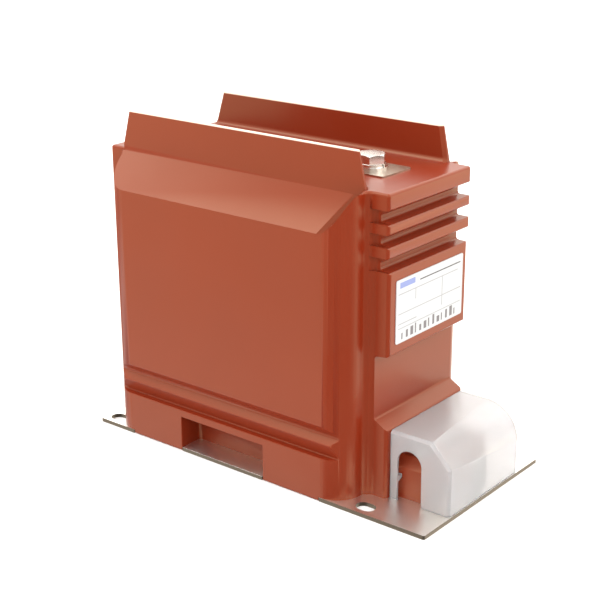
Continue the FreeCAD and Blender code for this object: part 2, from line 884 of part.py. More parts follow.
def base_fixings():
    """Screws from below and the threaded inserts that they go into; also the insert blanks."""
    blanks = []
    holes = []
    for number, (x, y) in enumerate(base_screw_places, start=1):
        screw = countersunk_screw(f"base_screw_{number}", x, y)
        keep(screw, f"base_screw_{number}")
        holes.append(countersunk_screw(f"base_screw_hole_{number}", x, y, size.fit_clearance))
        blank = hexagon(f"base_insert_blank_{number}", size.base_insert_flats, size.base_insert_length,
                        x, y, plate_top)
        bore = cylinder(f"base_insert_bore_{number}", size.base_screw_diameter / 2,
                        size.base_screw_length - plate_top + size.screw_end_clearance, x, y, plate_top)
        keep(cut(f"base_insert_{number}", blank, bore), f"base_insert_{number}")
        blanks.append(blank)
    return holes, blanks


# Fasteners of the terminals
def hex_bolt(name, x, y, seat):
    """A hexagon bolt that points down, with the top corners of its head turned off."""
    head = hexagon(f"{name}_hex", size.bolt_flats, size.bolt_head, x, y, seat)
    crown = doc.addObject("Part::Cone", f"{name}_crown")
    bind(crown, "Radius1", size.bolt_flats / 2 + size.bolt_head * CROWN_RUN)
    bind(crown, "Radius2", size.bolt_flats / 2)
    bind(crown, "Height", size.bolt_head)
    place(crown, x, y, seat)
    turned = doc.addObject("Part::MultiCommon", f"{name}_head")
    turned.Shapes = [head, crown]
    shank = cylinder(f"{name}_shank", size.bolt_diameter / 2, size.bolt_length, x, y, seat - size.bolt_length)
    return join(name, [turned, shank])


def ring(name, outer, bore, thickness, x, y, z):
    disc = cylinder(f"{name}_disc", outer / 2, thickness, x, y, z)
    hole = cylinder(f"{name}_hole", bore / 2, thickness, x, y, z)
    return cut(name, disc, hole)


def split_ring(name, outer, bore, thickness, x, y, z):
    """A spring washer: a ring cut through once at a slant."""
    whole = ring(f"{name}_ring", outer, bore, thickness, x, y, z)
    gap = doc.addObject("Part::Box", f"{name}_gap")
    bind(gap, "Length", outer)
    bind(gap, "Width", thickness / 2)
    bind(gap, "Height", thickness * 4)
    gap.Placement.Rotation = FreeCAD.Rotation(X_AXIS, SPLIT_ANGLE)
    place(gap, x, y, z - thickness)
    return cut(name, whole, gap)


# Primary side: terminals, their fasteners and the bar through the cores
def primary_terminal(label, x):
    """A tinned block cast into the deck, with a threaded hole for the busbar bolt."""
    body = new_body(f"terminal_blank_{label}")
    sketch = new_sketch(body, "XY_Plane", f"terminal_plan_{label}", terminal_bottom)
    half_length = size.terminal_length / 2
    half_width = size.terminal_width / 2
    draw_box(sketch, (x - half_length, -half_width), (x + half_length, half_width), size.terminal_corner)
    add_pad(body, sketch, size.terminal_depth)
    bore = cylinder(f"terminal_bore_{label}", size.bolt_diameter / 2, size.bolt_hole_depth,
                    x, ZERO, terminal_top - size.bolt_hole_depth)
    keep(cut(f"terminal_{label}", body, bore), f"primary_terminal_{label}")
    return body


def busbar_fixing(label, x):
    """The hexagon bolt of a primary terminal, with its flat washer and spring washer."""
    bore_across = size.bolt_diameter + size.washer_clearance
    flat = ring(f"flat_{label}", size.flat_washer_outer, bore_across, size.flat_washer_thickness,
                x, ZERO, terminal_top)
    keep(flat, f"flat_washer_{label}")
    spring_seat = terminal_top + size.flat_washer_thickness
    spring = split_ring(f"spring_{label}", size.spring_washer_outer, bore_across,
                        size.spring_washer_thickness, x, ZERO, spring_seat)
    keep(spring, f"spring_washer_{label}")
    bolt = hex_bolt(f"bolt_{label}", x, ZERO, spring_seat + size.spring_washer_thickness)
    keep(bolt, f"terminal_bolt_{label}")


def primary_conductor():
    """One flat bar bent into a U: down from one terminal, through both cores and up to the other."""
    body = new_body("conductor")
    sketch = new_sketch(body, "XZ_Plane", "conductor_side")
    half = size.bar_thickness / 2
    back, front = primary_places["p1"], primary_places["p2"]
    under = size.core_height - half
    above = size.core_height + half
    outer_bend = size.bar_bend + size.bar_thickness
    draw_lines(sketch, [
        (back - half, terminal_bottom),
        (back - half, under, outer_bend),
        (front + half, under, outer_bend),
        (front + half, terminal_bottom),
        (front - half, terminal_bottom),
        (front - half, above, size.bar_bend),
        (back + half, above, size.bar_bend),
        (back + half, terminal_bottom),
    ])
    add_pad(body, sketch, size.bar_width, symmetric=True)
    return keep(body, "primary_conductor")


# Cores and windings: rings about the primary bar
core_row = (size.protection_core_length + size.measuring_core_length
            + size.winding_thickness * 4 + size.core_gap)
core_places = {
    "protection": (primary_middle - core_row / 2 + size.winding_thickness, size.protection_core_length),
    "measuring": (primary_middle + core_row / 2 - size.winding_thickness - size.measuring_core_length,
                  size.measuring_core_length),
}


def turn_ring(name, loops):
    """A ring turned about the axis of the primary bar, from rounded boxes (low, high, radius)."""
    body = new_body(name)
    sketch = new_sketch(body, "XZ_Plane", f"{name}_section")
    bind(sketch, "AttachmentOffset.Base.y", size.core_height)
    for low, high, radius in loops:
        draw_box(sketch, low, high, radius)
    turn = body.newObject("PartDesign::Revolution", f"{name}_turn")
    turn.Profile = (sketch, [""])
    turn.ReferenceAxis = (sketch, ["H_Axis"])
    doc.recompute()
    return body


def core_and_winding(name):
    start, length = core_places[name]
    end = start + length
    wound = size.winding_thickness
    low = (start, size.core_bore / 2)
    high = (end, size.core_outer / 2)
    core = turn_ring(f"{name}_core_ring", [(low, high, size.core_round)])
    keep(core, f"{name}_core")
    winding = turn_ring(f"{name}_winding_ring", [
        ((start - wound, size.core_bore / 2 - wound), (end + wound, size.core_outer / 2 + wound),
         size.core_round + wound),
        (low, high, size.core_round),
    ])
    keep(winding, f"{name}_winding")
    return [core, winding]


# Secondary side: inserts, screws, washers and the leads from the windings
def winding_underside(row):
    """Height of the lowest point of a winding above a lead at this distance from the middle."""
    radius = size.core_outer / 2 + size.winding_thickness
    side = 1 if row.value > 0 else -1
    inner_side = row * side - size.lead_diameter / 2
    return size.core_height - (radius * radius - inner_side * inner_side).root()


def secondary_lead(number, row, start_x):
    """A round wire from under its insert, along the foot of the casting and up to its winding."""
    insert_foot = block_top - size.insert_length
    top = winding_underside(row) - size.lead_clearance
    body = new_body(f"lead_{number}")
    route = new_sketch(body, "XZ_Plane", f"lead_route_{number}", -row)
    draw_lines(route, [
        (terminal_row, insert_foot),
        (terminal_row, size.lead_level, size.lead_bend),
        (start_x, size.lead_level, size.lead_bend),
        (start_x, top),
    ], closed=False)
    section = new_sketch(body, "XY_Plane", f"lead_section_{number}", insert_foot)
    draw_circle(section, (terminal_row, row), size.lead_diameter / 2)
    pipe = body.newObject("PartDesign::AdditivePipe", f"lead_wire_{number}")
    pipe.Profile = (section, [""])
    pipe.Spine = (route, ["Edge1", "Edge2", "Edge3", "Edge4", "Edge5"])
    doc.recompute()
    return keep(body, f"secondary_lead_{number}")


def secondary_terminal(number, row):
    """A hexagonal insert with its slotted screw, spring washer and flat washer."""
    x = terminal_row
    foot = block_top - size.insert_length
    blank = hexagon(f"insert_blank_{number}", size.insert_flats, size.insert_length, x, row, foot)
    washer_seat = block_top + size.secondary_washer_thickness
    head_seat = washer_seat + size.secondary_spring_thickness
    hole = size.secondary_screw_length + size.screw_end_clearance
    bore = cylinder(f"insert_bore_{number}", size.secondary_screw_diameter / 2, hole,
                    x, row, block_top - hole)
    keep(cut(f"insert_{number}", blank, bore), f"secondary_insert_{number}")
    across = size.secondary_screw_diameter + size.washer_clearance
    flat = ring(f"secondary_flat_{number}", size.secondary_washer_outer, across,
                size.secondary_washer_thickness, x, row, block_top)
    keep(flat, f"secondary_washer_{number}")
    spring = split_ring(f"secondary_spring_{number}", size.secondary_spring_outer, across,
                        size.secondary_spring_thickness, x, row, washer_seat)
    keep(spring, f"secondary_spring_washer_{number}")
    screw = slotted_screw(f"secondary_screw_{number}", x, row, head_seat, size.secondary_screw_diameter / 2,
                          size.secondary_screw_length)
    keep(screw, f"secondary_screw_{number}")
    return blank


def slotted_screw(name, x, y, seat, radius, length):
    """A cheese-head screw that points down."""
    head = cylinder(f"{name}_head", size.secondary_head_diameter / 2, size.secondary_head_height, x, y, seat)
    shank = cylinder(f"{name}_shank", radius, length, x, y, seat - length)
    slot = doc.addObject("Part::Box", f"{name}_slot")
    bind(slot, "Length", size.secondary_head_diameter + OVERCUT)
    bind(slot, "Width", size.secondary_head_slot)
    bind(slot, "Height", size.secondary_head_height)
    place(slot, x - (size.secondary_head_diameter + OVERCUT) / 2, y - size.secondary_head_slot / 2,
          seat + size.secondary_head_height / 2)
    return cut(name, join(f"{name}_solid", [head, shank]), slot)


# Earth bracket: a bent strip on the plate, just behind the front of the cover
earth_face = cover_front - size.cover_wall - size.earth_gap
earth_screw_x = (earth_face - size.earth_foot
                 + size.secondary_head_diameter / 2 + size.earth_screw_margin)


def earth_bracket():
    body = new_body("bracket")
    sketch = new_sketch(body, "XZ_Plane", "bracket_side", -(size.earth_middle_y + size.earth_width / 2))
    inner = earth_face - size.earth_thickness
    foot_end = earth_face - size.earth_foot
    draw_lines(sketch, [
        (foot_end, plate_top),
        (earth_face, plate_top, size.earth_bend + size.earth_thickness),
        (earth_face, size.earth_height),
        (inner, size.earth_height),
        (inner, plate_top + size.earth_thickness, size.earth_bend),
        (foot_end, plate_top + size.earth_thickness),
    ])
    add_pad(body, sketch, size.earth_width)
    hole = new_sketch(body, "XY_Plane", "bracket_hole", plate_top)
    across = size.earth_screw_diameter + size.washer_clearance
    draw_circle(hole, (earth_screw_x, size.earth_middle_y), across / 2)
    add_pocket(body, hole, size.earth_thickness, backwards=True)
    keep(body, "earth_bracket")
    screw = slotted_screw("earth_screw", earth_screw_x, size.earth_middle_y, plate_top + size.earth_thickness,
                          size.earth_screw_diameter / 2, size.earth_thickness + size.plate_thickness)
    keep(screw, "earth_screw")
    return cylinder("earth_screw_bore", size.earth_screw_diameter / 2, size.plate_thickness,
                    earth_screw_x, size.earth_middle_y)


# Rating plate: a thin plate on the label pad, its place for ratings left bare
def rating_plate():
    body = new_body("rating")
    sketch = new_sketch(body, "YZ_Plane", "rating_outline", end_front)
    half = half_front - size.rating_side_margin
    foot = label_pad_bottom + size.rating_foot_margin
    draw_box(sketch, (size.rating_middle_y - half, foot),
             (size.rating_middle_y + half, foot + size.rating_height), size.rating_corner)
    add_pad(body, sketch, size.rating_thickness)
    return keep(body, "rating_plate")


# Secondary cover: a moulded hood whose near end has a straight slope and whose far end is round
def cover_profile(sketch, inset, sloped, overrun):
    """Side view of the hood, drawn smaller by inset; overrun carries it past its open sides."""
    front = cover_front - inset
    top = size.cover_top - inset
    back = cover_back - overrun
    foot = plate_top - overrun
    if sloped:
        slope_foot = size.cover_slope_foot - inset / 2
        slope_run = size.cover_slope_run - inset / 2
        draw_lines(sketch, [
            (back, foot),
            (front, foot),
            (front, slope_foot),
            (front - slope_run, top),
            (back, top),
        ])
        return
    radius = size.cover_round - inset
    centre = (front - radius, top - radius)
    circle = Part.Circle(FreeCAD.Vector(centre[0].value, centre[1].value, 0), Z_AXIS, radius.value)
    corners = [(back, foot), (front, foot), (front, top - radius), (front - radius, top), (back, top)]
    points = [FreeCAD.Vector(x.value, z.value, 0) for x, z in corners]
    lines = [sketch.addGeometry(Part.LineSegment(points[i], points[i + 1])) for i in range(2)]
    arc = sketch.addGeometry(Part.ArcOfCircle(circle, 0, math.pi / 2))
    lines += [sketch.addGeometry(Part.LineSegment(points[i], points[(i + 1) % len(points)])) for i in (3, 4)]
    for first, second in ((0, 1), (2, 3), (3, 0)):
        sketch.addConstraint(Sketcher.Constraint("Coincident", lines[first], 2, lines[second], 1))
    sketch.addConstraint(Sketcher.Constraint("Tangent", lines[1], 2, arc, 1))
    sketch.addConstraint(Sketcher.Constraint("Tangent", arc, 2, lines[2], 1))
    pin_point(sketch, lines[0], 1, corners[0])
    pin_point(sketch, lines[1], 1, corners[1])
    pin_point(sketch, lines[3], 1, corners[4])
    pin_point(sketch, arc, 3, centre)


def cover_loft(body, kind, name, stations, overrun):
    """Joins side views at stations across the width: (y, inset, sloped)."""
    sketches = []
    for number, (y, inset, sloped) in enumerate(stations, start=1):
        sketches.append(new_sketch(body, "XZ_Plane", f"{name}_{number}", -y))
        cover_profile(sketches[-1], inset, sloped, overrun)
    loft = body.newObject(f"PartDesign::{kind}", f"{name}_loft")
    loft.Profile = (sketches[0], [""])
    loft.Sections = [(sketch, [""]) for sketch in sketches[1:]]
    loft.Ruled = True
    doc.recompute()
    return loft


def secondary_cover():
    body = new_body("cover")
    near = size.cover_near
    far = size.cover_far
    wall = size.cover_wall
    cover_loft(body, "AdditiveLoft", "outer", [
        (-near, size.cover_near_bevel, True),
        (size.cover_near_bevel - near, ZERO, True),
        (far - size.cover_far_bevel, ZERO, False),
        (far, size.cover_far_bevel, False),
    ], ZERO)
    cover_loft(body, "SubtractiveLoft", "inner", [(wall - near, wall, True), (far - wall, wall, False)],
               as_size(OVERCUT))
    slot = new_sketch(body, "XZ_Plane", "cable_slot")
    slot_middle = cover_front - size.cable_slot_inset
    half_slot = size.cable_slot_width / 2
    draw_arch(slot, slot_middle - half_slot, slot_middle + half_slot,
              plate_top - OVERCUT, size.cable_slot_height)
    add_pocket(body, slot, backwards=True)
    snap_noses(body)
    return keep(body, "secondary_cover")


def snap_noses(body):
    """Noses on both side walls with a ramp below, which click into the terminal block."""
    sketch = new_sketch(body, "YZ_Plane", "noses", snap_start)
    tip = size.block_width / 2 - size.snap_catch
    snap_top = size.snap_bottom + size.snap_height
    for side, wall in ((-1, size.cover_near), (1, size.cover_far)):
        inside = wall - size.cover_wall
        root = wall - size.cover_wall / 2
        draw_lines(sketch, [
            (root * side, size.snap_bottom),
            (inside * side, size.snap_bottom),
            (tip * side, size.snap_bottom + size.snap_ramp),
            (tip * side, snap_top),
            (root * side, snap_top),
        ])
    add_pad(body, sketch, size.snap_width)


def draw_arch(sketch, left, right, foot, top):
    """A slot with straight sides and a half-round head."""
    radius = (right - left) / 2
    centre = (left + radius, top - radius)
    circle = Part.Circle(FreeCAD.Vector(centre[0].value, centre[1].value, 0), Z_AXIS, radius.value)
    arc = sketch.addGeometry(Part.ArcOfCircle(circle, 0, math.pi))
    points = [FreeCAD.Vector(x.value, z.value, 0) for x, z in (
        (left, centre[1]), (left, foot), (right, foot), (right, centre[1]))]
    lines = [sketch.addGeometry(Part.LineSegment(points[i], points[i + 1])) for i in range(3)]
    sketch.addConstraint(Sketcher.Constraint("Tangent", arc, 2, lines[0], 1))
    sketch.addConstraint(Sketcher.Constraint("Coincident", lines[0], 2, lines[1], 1))
    sketch.addConstraint(Sketcher.Constraint("Coincident", lines[1], 2, lines[2], 1))
    sketch.addConstraint(Sketcher.Constraint("Tangent", lines[2], 2, arc, 1))
    pin_point(sketch, arc, 3, centre)
    pin_point(sketch, lines[1], 1, (left, foot))
    pin_point(sketch, lines[1], 2, (right, foot))


# Assembly
embedded = [primary_terminal(label, x) for label, x in primary_places.items()]
busbar_fixing("p2", primary_places["p2"])
embedded.append(primary_conductor())
for core_name in core_places:
    embedded += core_and_winding(core_name)
for number, row in enumerate(secondary_rows, start=1):
    embedded.append(secondary_terminal(number, row))
    start, length = core_places["measuring" if number <= 2 else "protection"]
    embedded.append(secondary_lead(number, row, start + length / 2))
screw_holes, insert_blanks = base_fixings()
embedded += insert_blanks
screw_holes.append(earth_bracket())
keep(cut("base_plate_drilled", base_plate(), join("plate_holes", screw_holes)), "base_plate")
rating_plate()
secondary_cover()
reliefs = join("shoulder_reliefs", [shoulder_relief(side) for side in (-1, 1)])
whole = join("whole_casting", [resin_blank(), back_end()])
shaped = cut("shaped_casting", whole, reliefs)
keep(cut("filled_casting", shaped, join("embedded_pieces", embedded)), "resin_body")
doc.recompute()

# Check and export
for item in doc.Objects:
    if "Invalid" in item.State or "Error" in item.State:
        raise RuntimeError(f"{item.Name} is {item.State}")
os.makedirs("parts", exist_ok=True)
for item in parts:
    if item.Shape.isNull() or not item.Shape.isValid():
        raise RuntimeError(f"{item.Label} has no valid shape")
    item.Shape.exportStep(f"parts/{item.Label}.step")
    print(item.Label, len(item.Shape.Solids), round(item.Shape.Volume))
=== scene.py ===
# %% [markdown]
# # Cast resin current transformer
# The real thing is one block of filled epoxy resin, cast round a copper bar, two iron cores and their
# windings. Two upright fins keep the busbar apart from the next phase. The end block has sheds, a rating
# plate and a milky hood over the secondary terminals, and the whole stands on a bright plated sheet.
#
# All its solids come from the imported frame, so nothing is built from nothing here. This lesson gives each
# solid its finish, softens the edges that would never be razor sharp, and adds the printed lines, the
# room, the lamps and the camera.

import json
import math

import bmesh
import bpy
from mathutils import Matrix, Vector


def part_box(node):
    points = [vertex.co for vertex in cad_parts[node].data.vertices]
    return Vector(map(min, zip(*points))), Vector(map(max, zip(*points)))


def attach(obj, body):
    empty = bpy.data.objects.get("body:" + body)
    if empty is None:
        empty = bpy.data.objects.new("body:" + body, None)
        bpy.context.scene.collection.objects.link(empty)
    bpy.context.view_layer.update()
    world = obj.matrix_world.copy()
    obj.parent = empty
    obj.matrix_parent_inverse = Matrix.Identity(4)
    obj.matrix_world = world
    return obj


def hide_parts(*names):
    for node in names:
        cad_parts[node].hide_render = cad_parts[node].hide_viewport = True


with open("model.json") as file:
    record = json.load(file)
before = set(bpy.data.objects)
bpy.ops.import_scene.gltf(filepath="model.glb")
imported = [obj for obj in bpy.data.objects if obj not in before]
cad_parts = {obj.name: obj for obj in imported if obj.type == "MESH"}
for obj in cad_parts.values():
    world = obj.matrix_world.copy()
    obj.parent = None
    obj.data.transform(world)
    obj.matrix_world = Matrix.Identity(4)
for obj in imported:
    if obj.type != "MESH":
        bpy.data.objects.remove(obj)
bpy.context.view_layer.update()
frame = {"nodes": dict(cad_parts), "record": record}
MM = 0.001

# %% [markdown]
# ## The camera
# A camera can be turned by hand until the picture looks right, or worked out from the photograph. This
# one was worked out from the straight edges of the object, because a small error would show along the
# whole outline. A long lens stands about one metre away, a little above the deck, and is turned by a very
# small roll. Its three directions, written as the columns of a matrix, place it in one step.

# %% Camera
CAMERA_PLACE = Vector((588.3, -742.8, 447.5)) * MM
CAMERA_AZIMUTH = math.radians(38.885)
CAMERA_ELEVATION = math.radians(19.394)
CAMERA_ROLL = math.radians(-0.253)
IMAGE_SIZE = 600
FOCAL_PIXELS = 1365.5
SENSOR = 36.0

toward_viewer = Vector((math.sin(CAMERA_AZIMUTH), -math.cos(CAMERA_AZIMUTH), 0))
level_right = Vector((math.cos(CAMERA_AZIMUTH), math.sin(CAMERA_AZIMUTH), 0))
back = toward_viewer * math.cos(CAMERA_ELEVATION) + Vector((0, 0, math.sin(CAMERA_ELEVATION)))
level_up = back.cross(level_right)
right = level_right * math.cos(CAMERA_ROLL) + level_up * math.sin(CAMERA_ROLL)
up = level_up * math.cos(CAMERA_ROLL) - level_right * math.sin(CAMERA_ROLL)

bpy.ops.object.camera_add()
camera = bpy.context.object
camera.name = "camera"
camera.data.sensor_width = SENSOR
camera.data.lens = FOCAL_PIXELS / IMAGE_SIZE * SENSOR
camera.matrix_world = Matrix.Translation(CAMERA_PLACE) @ Matrix((right, up, back)).transposed().to_4x4()
bpy.context.scene.camera = camera
print("lens in mm", round(camera.data.lens, 2))

# %% [markdown]
# ## The floor
# The photograph has a white ground with no edge. A curved backdrop would do, but a plain plane that runs
# far out is simpler and looks the same from every side. It is hidden from reflections, because the room
# below the horizon is drawn by the background instead.

# %% Floor
FLOOR_SIZE = 12.0

bpy.ops.mesh.primitive_plane_add(size=FLOOR_SIZE, location=(0, 0, 0))
floor = bpy.context.object
floor.name = "floor"
floor.visible_glossy = False
print("floor in metres", FLOOR_SIZE)

# %% [markdown]
# ## The lamps
# Three large area lamps give the soft studio light, because a large lamp gives a soft shadow. One hangs
# over the shoulder and the deck, one stands in front of the long side, and one lights the end face. The
# light that arrives falls with the square of the distance, so the farthest lamp needs the most watts.


# %% Lamps
def soft_lamp(name, place, aim, width, height, watts):
    """An area lamp at a place in metres, turned to shine at a point."""
    bpy.ops.object.light_add(type="AREA", location=place)
    lamp = bpy.context.object
    lamp.name = name
    lamp.data.shape = "RECTANGLE"
    lamp.data.size = width
    lamp.data.size_y = height
    lamp.data.energy = watts
    lamp.rotation_euler = (Vector(aim) - Vector(place)).to_track_quat("-Z", "Y").to_euler()
    return lamp


MIDDLE = (0, 0, 0.12)
END_BLOCK = (0.1, 0, 0.12)
lamps = [
    soft_lamp("lamp_over_shoulder", (-0.72, -0.42, 1.35), MIDDLE, 0.8, 0.8, 5.0),
    soft_lamp("lamp_front", (-0.3, -1.8, 1.3), MIDDLE, 1.4, 1.0, 7.0),
    soft_lamp("lamp_end_face", (1.9, 0.2, 1.1), END_BLOCK, 1.2, 1.0, 8.0),
]
print("lamps in watts", {lamp.name: lamp.data.energy for lamp in lamps})

# %% [markdown]
# ## Node helpers
# The room and every finish are node trees. Written out in full they are long and dull to read, so a few
# small helpers add a node, stretch a value over a band, mix two values or colours, and multiply several.
# Each returns the socket with its result, which goes straight into the next one.
#
# A band is four numbers: where it starts and ends, and the value at its start and at its end.


# %% Node helpers
def add_node(tree, kind, **settings):
    """Adds a node. A setting named like one of its properties goes there, any other to an input socket."""
    node = tree.nodes.new(kind)
    for key, value in settings.items():
        if hasattr(node, key):
            setattr(node, key, value)
        else:
            node.inputs[key.replace("_", " ")].default_value = value
    return node


def feed(tree, value, socket):
    """Links a socket to a result, or sets it where the value is a constant."""
    if isinstance(value, bpy.types.NodeSocket):
        tree.links.new(value, socket)
    else:
        socket.default_value = value


def math_node(tree, operation, *values):
    """The result of a maths node on results or constants."""
    node = add_node(tree, "ShaderNodeMath", operation=operation)
    for value, socket in zip(values, node.inputs):
        feed(tree, value, socket)
    return node.outputs["Value"]


def stretched(tree, source, band):
    """A result stretched over a band, and held at the band's ends."""
    low, high, at_low, at_high = band
    node = add_node(tree, "ShaderNodeMapRange", From_Min=low, From_Max=high, To_Min=at_low, To_Max=at_high)
    tree.links.new(source, node.inputs["Value"])
    return node.outputs["Result"]


def blended(tree, kind, factor, low, high):
    """A mix of two results or constants by a factor; kind is FLOAT or RGBA."""
    node = add_node(tree, "ShaderNodeMix", data_type=kind)
    wanted = "VALUE" if kind == "FLOAT" else "RGBA"
    ends = [socket for socket in node.inputs if socket.type == wanted and socket.name in "AB"]
    for socket, value in zip(ends, (low, high)):
        feed(tree, value, socket)
    tree.links.new(factor, node.inputs[0])
    return next(socket for socket in node.outputs if socket.enabled)


def product(tree, factors):
    """The product of several results."""
    total = factors[0]
    for factor in factors[1:]:
        total = math_node(tree, "MULTIPLY", total, factor)
    return total


# %% [markdown]
# ## The room
# Semi-gloss resin shows the room more than it shows the lamps, so the room decides how the object looks.
# Real walls could be modelled, but they would stand in the way of the views from other sides. The
# background can be painted instead: its colour depends on the direction in which a mirrored ray leaves
# the object.
#
# Below the horizon the wall behind the object is bright and the space at the viewer's side is dark. The
# rounded corner turns from one to the other, and that gives it its deep red band. A glow near the floor
# whitens the foot of the long side, a second one reaches the fins, and the wall behind the hidden end is
# dim. Above the horizon the ceiling grows brighter upwards, most of all at the far side, where the deck
# and the cover's top mirror it.

# %% Directions in the room
room = bpy.data.worlds.new("room")
room.use_nodes = True
tree = room.node_tree
background = tree.nodes["Background"]
direction = add_node(tree, "ShaderNodeTexCoord").outputs["Generated"]
viewer_side = add_node(tree, "ShaderNodeVectorMath", operation="DOT_PRODUCT")
viewer_side.inputs[1].default_value = toward_viewer
tree.links.new(direction, viewer_side.inputs[0])
viewer_share = viewer_side.outputs["Value"]
parts = add_node(tree, "ShaderNodeSeparateXYZ")
tree.links.new(direction, parts.inputs["Vector"])
along, across, height = (parts.outputs[axis] for axis in "XYZ")

# %% Light of the room
WALL_BAND = (-0.3, 0.62, 1.8, 0.05)
FLOOR_GLOW_BAND = (0.27, 0.5, 2.0, 0.12)
NEAR_FLOOR_BAND = (-0.43, -0.31, 1.0, 0.0)
FIN_GLOW_BAND = (-0.24, -0.17, 1.0, 2.3)
UNDERSIDE_BAND = (-0.72, -0.52, 0.12, 1.0)
HIDDEN_END_BAND = (-0.92, -0.78, 0.25, 1.0)
CEILING_BAND = (0.20, 0.60, 0.80, 1.60)
FAR_SIDE_BAND = (0.2, 0.7, 1.0, 1.8)
NEAR_SIDE_BAND = (-0.1, 0.15, 1.0, 0.0)
SHOULDER_BAND = (0.45, 0.65, 1.0, 1.2)
HORIZON_BAND = (-0.2, 0.0, 0.0, 1.0)

near_floor = stretched(tree, height, NEAR_FLOOR_BAND)
wall = stretched(tree, viewer_share, WALL_BAND)
floor_glow = stretched(tree, viewer_share, FLOOR_GLOW_BAND)
below = product(tree, [
    blended(tree, "FLOAT", near_floor, wall, floor_glow),
    stretched(tree, height, FIN_GLOW_BAND),
    stretched(tree, along, HIDDEN_END_BAND),
    stretched(tree, height, UNDERSIDE_BAND),
])
near_side = stretched(tree, across, NEAR_SIDE_BAND)
above = product(tree, [
    stretched(tree, height, CEILING_BAND),
    stretched(tree, across, FAR_SIDE_BAND),
    blended(tree, "FLOAT", near_side, 1.0, stretched(tree, height, SHOULDER_BAND)),
])
horizon = stretched(tree, height, HORIZON_BAND)
tree.links.new(blended(tree, "FLOAT", horizon, below, above), background.inputs["Strength"])

# %% Colours of the room
WARM_WALL = (1.0, 0.93, 0.72, 1)
PALE_FLOOR = (1.0, 0.99, 0.97, 1)
PALE_CEILING = (1.0, 0.99, 0.97, 1)
FAR_CEILING = (1.0, 0.96, 0.90, 1)
FAR_TINT_BAND = (0.2, 0.7, 0.0, 1.0)

low_tint = blended(tree, "RGBA", near_floor, WARM_WALL, PALE_FLOOR)
high_tint = blended(tree, "RGBA", stretched(tree, across, FAR_TINT_BAND), PALE_CEILING, FAR_CEILING)
tree.links.new(blended(tree, "RGBA", horizon, low_tint, high_tint), background.inputs["Color"])
bpy.context.scene.world = room
bpy.context.scene.view_settings.view_transform = "Standard"
print("room nodes", len(tree.nodes))

# %% [markdown]
# ## Shared effects
# Two effects come back in several finishes. Cast texture is the faint orange peel and slow waviness that
# any moulded face keeps. Handling marks are the dull patches and fine scratches of things that were
# carried about. Each could be built again in every material, but as a node group with named sockets it is
# built once, and a finish only states its scales.


# %% Group helpers
def new_group(name, inputs, outputs):
    """An empty shader node group with its inlet and outlet; each input is a name and a value."""
    group = bpy.data.node_groups.new(name, "ShaderNodeTree")
    for label, value in inputs:
        socket = group.interface.new_socket(label, in_out="INPUT", socket_type="NodeSocketFloat")
        socket.default_value = value
    for label in outputs:
        group.interface.new_socket(label, in_out="OUTPUT", socket_type="NodeSocketFloat")
    return group, add_node(group, "NodeGroupInput"), add_node(group, "NodeGroupOutput")


def noise_on(tree, coordinates, scale, **settings):
    """A noise over coordinates, with its scale from a group's input."""
    noise = add_node(tree, "ShaderNodeTexNoise", **settings)
    tree.links.new(coordinates, noise.inputs["Vector"])
    tree.links.new(scale, noise.inputs["Scale"])
    return noise.outputs["Fac"]


# %% Cast texture
PEEL_SHARE = 0.15

cast_texture, inlet, outlet = new_group(
    "cast_texture", [("Peel Scale", 900.0), ("Wave Scale", 14.0)], ["Height", "Tone"])
on_object = add_node(cast_texture, "ShaderNodeTexCoord").outputs["Object"]
peel = noise_on(cast_texture, on_object, inlet.outputs["Peel Scale"], Detail=0.0, Roughness=0.5)
wave = noise_on(cast_texture, on_object, inlet.outputs["Wave Scale"], Detail=1.0, Roughness=0.4)
surface = math_node(cast_texture, "MULTIPLY_ADD", peel, PEEL_SHARE, wave)
cast_texture.links.new(surface, outlet.inputs["Height"])
cast_texture.links.new(wave, outlet.inputs["Tone"])
print("group", cast_texture.name, "nodes", len(cast_texture.nodes))

# %% Handling marks
PATCH_BAND = (0.42, 0.68, 0.0, 1.0)
STROKE_BAND = (0.62, 0.72, 0.0, 1.0)
STROKE_TURN = (0.3, 0.2, 0.7)
STROKE_STRETCH = (1.0, 22.0, 6.0)

handling_marks, inlet, outlet = new_group(
    "handling_marks", [("Patch Scale", 25.0), ("Scratch Scale", 60.0)], ["Patches", "Scratches"])
on_object = add_node(handling_marks, "ShaderNodeTexCoord").outputs["Object"]
patches = noise_on(handling_marks, on_object, inlet.outputs["Patch Scale"],
                   Detail=4.0, Roughness=0.6, Distortion=0.4)
handling_marks.links.new(stretched(handling_marks, patches, PATCH_BAND), outlet.inputs["Patches"])
turned = add_node(handling_marks, "ShaderNodeMapping", Rotation=STROKE_TURN, Scale=STROKE_STRETCH)
handling_marks.links.new(on_object, turned.inputs["Vector"])
strokes = noise_on(handling_marks, turned.outputs["Vector"], inlet.outputs["Scratch Scale"],
                   Detail=2.0, Roughness=0.7)
handling_marks.links.new(stretched(handling_marks, strokes, STROKE_BAND), outlet.inputs["Scratches"])
print("group", handling_marks.name, "nodes", len(handling_marks.nodes))


# %% Finish helpers
def new_finish(name):
    """A material with its Principled shader, ready for nodes."""
    material = bpy.data.materials.new(name)
    material.use_nodes = True
    return material, material.node_tree, material.node_tree.nodes["Principled BSDF"]


def use_group(tree, group, **values):
    """Places a node group with its own values."""
    node = tree.nodes.new("ShaderNodeGroup")
    node.node_tree = group
    for key, value in values.items():
        node.inputs[key.replace("_", " ")].default_value = value
    return node


def two_tones(tree, mask, low, high):
    """Two colours mixed by a mask, so that no face is one flat colour."""
    return blended(tree, "RGBA", mask, (*low, 1), (*high, 1))


